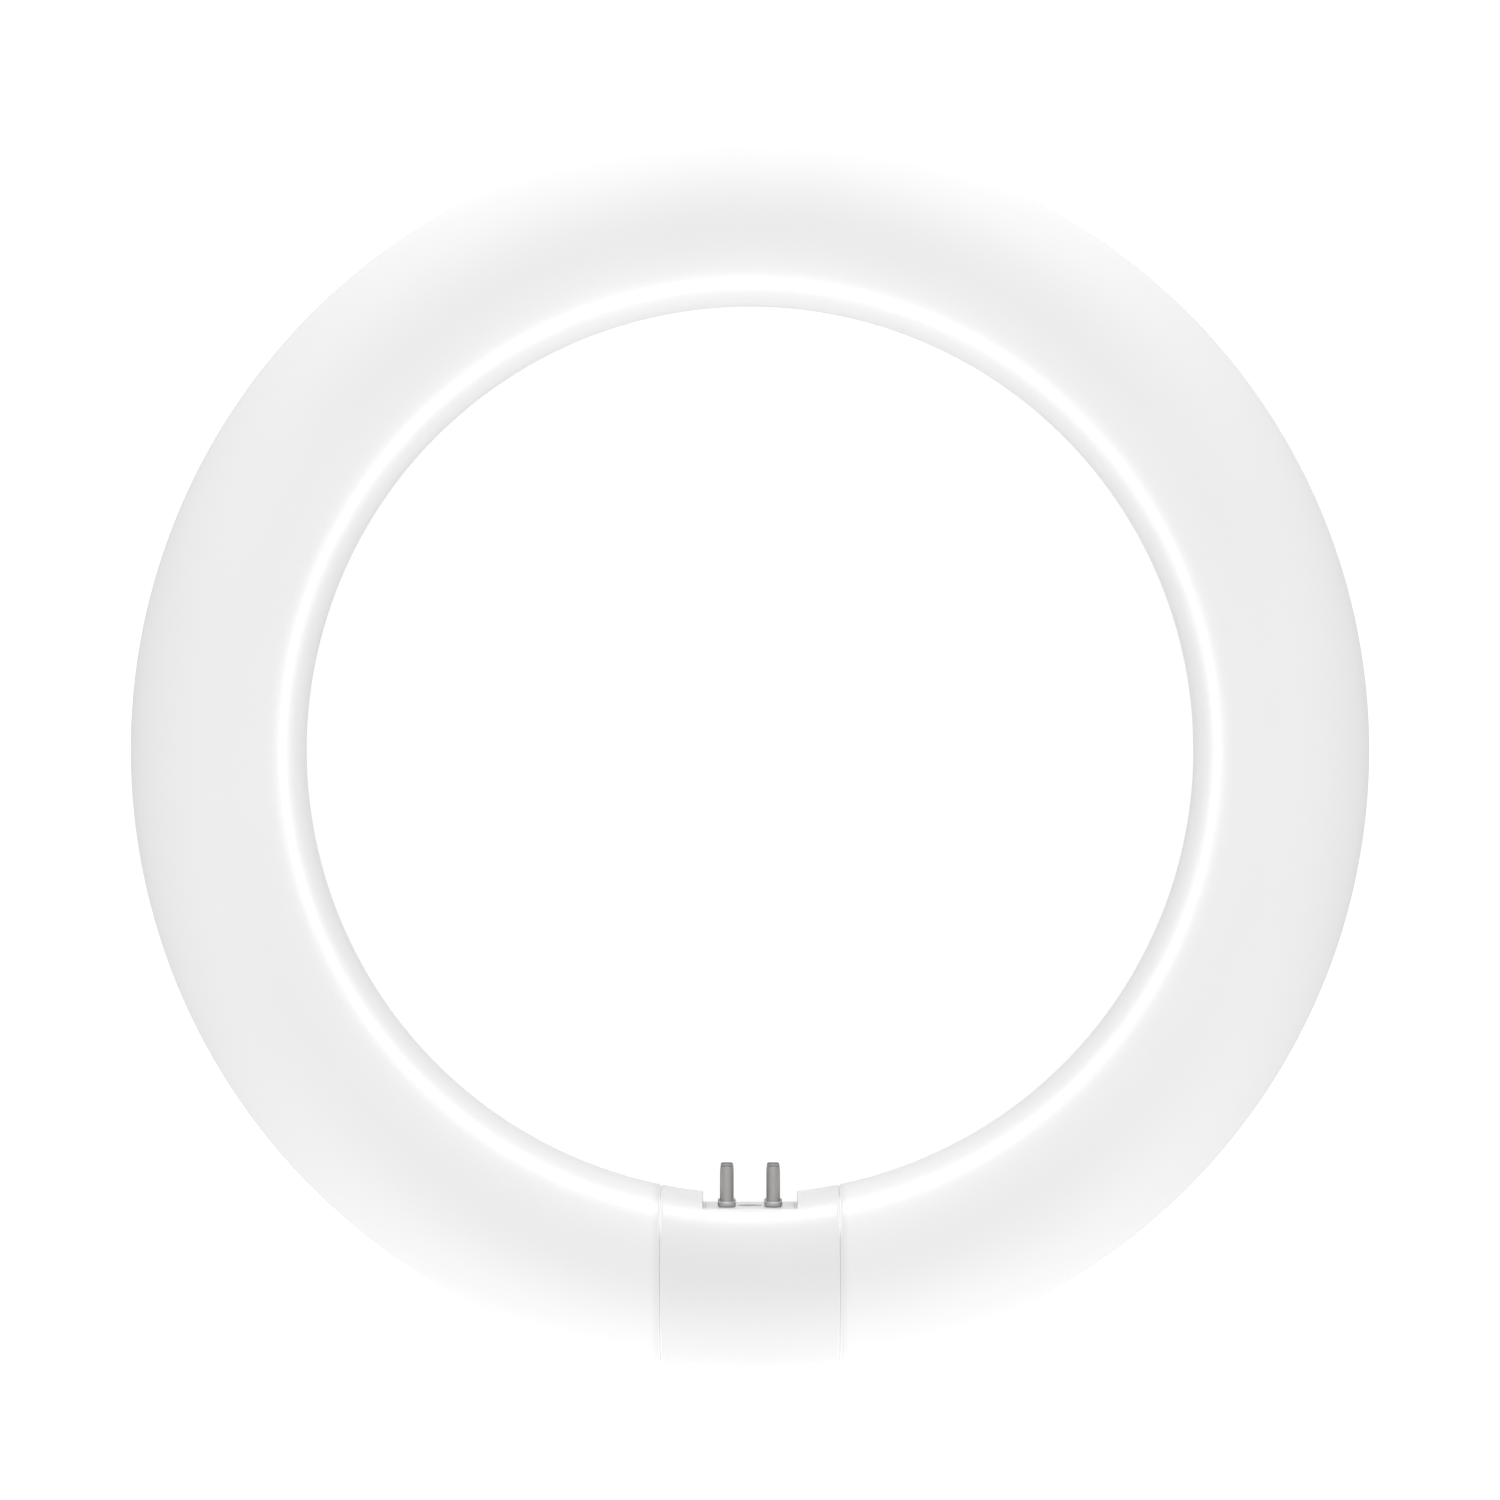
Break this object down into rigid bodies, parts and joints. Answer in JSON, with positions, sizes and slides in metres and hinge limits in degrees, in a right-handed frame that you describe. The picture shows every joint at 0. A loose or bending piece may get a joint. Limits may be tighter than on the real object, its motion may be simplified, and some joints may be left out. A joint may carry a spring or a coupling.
{
  "type": "circular led tube",
  "caption": "Ring-shaped opal white LED lamp tube, closed by a flush moulded base housing whose contact pins stand in a recess and point to the ring's centre.",
  "frame": {"origin": "centre of the ring, on its middle plane", "axes": "+Z along the ring's axis, out of the light side; the base housing is at -Y and its pins point along +Y to the centre; +X is to the right, seen from the light side with +Y up"},
  "size_m": [0.212, 0.212, 0.03],
  "materials": {
    "opal_tube": "smooth opal white, softly glossy",
    "base_plastic": "smooth moulded white",
    "block_plastic": "smooth moulded white insulator",
    "pin_metal": "satin nickel plate",
    "bond_silicone": "white silicone",
    "board_metal": "white solder mask over metal core",
    "light_package": "yellow phosphor in a white case",
    "tinned_wire": "tinned",
    "driver_laminate": "green solder mask",
    "capacitor_sleeve": "dark shrink sleeve",
    "ferrite": "sintered, matt",
    "copper_winding": "enamelled wire",
    "film_coating": "dipped coating",
    "resistor_coating": "flameproof coating",
    "component_black": "moulded epoxy",
    "lead_white": "insulation",
    "lead_red": "insulation",
    "lead_black": "insulation"
  },
  "bodies": {
    "root": {"base_front_shell": "base_plastic", "base_rear_shell": "base_plastic", "board_bond": "bond_silicone", "board_links_1": "tinned_wire", "board_links_2": "tinned_wire", "bridge_rectifier": "component_black", "bulk_capacitor": "capacitor_sleeve", "choke_core": "ferrite", "choke_winding": "copper_winding", "diffuser_tube": "opal_tube", "driver_board": "driver_laminate", "driver_chip": "component_black", "film_capacitor": "film_coating", "fusible_resistor": "resistor_coating", "light_board_1": "board_metal", "light_board_2": "board_metal", "light_board_3": "board_metal", "light_lead_negative": "lead_black", "light_lead_positive": "lead_red", "light_packages_1": "light_package", "light_packages_2": "light_package", "light_packages_3": "light_package", "pin_block": "block_plastic", "pin_front_left": "pin_metal", "pin_front_right": "pin_metal", "pin_lead_front_left": "lead_white", "pin_lead_front_right": "lead_white", "pin_lead_rear_left": "lead_white", "pin_lead_rear_right": "lead_white", "pin_rear_left": "pin_metal", "pin_rear_right": "pin_metal"}
  },
  "joints": []
}
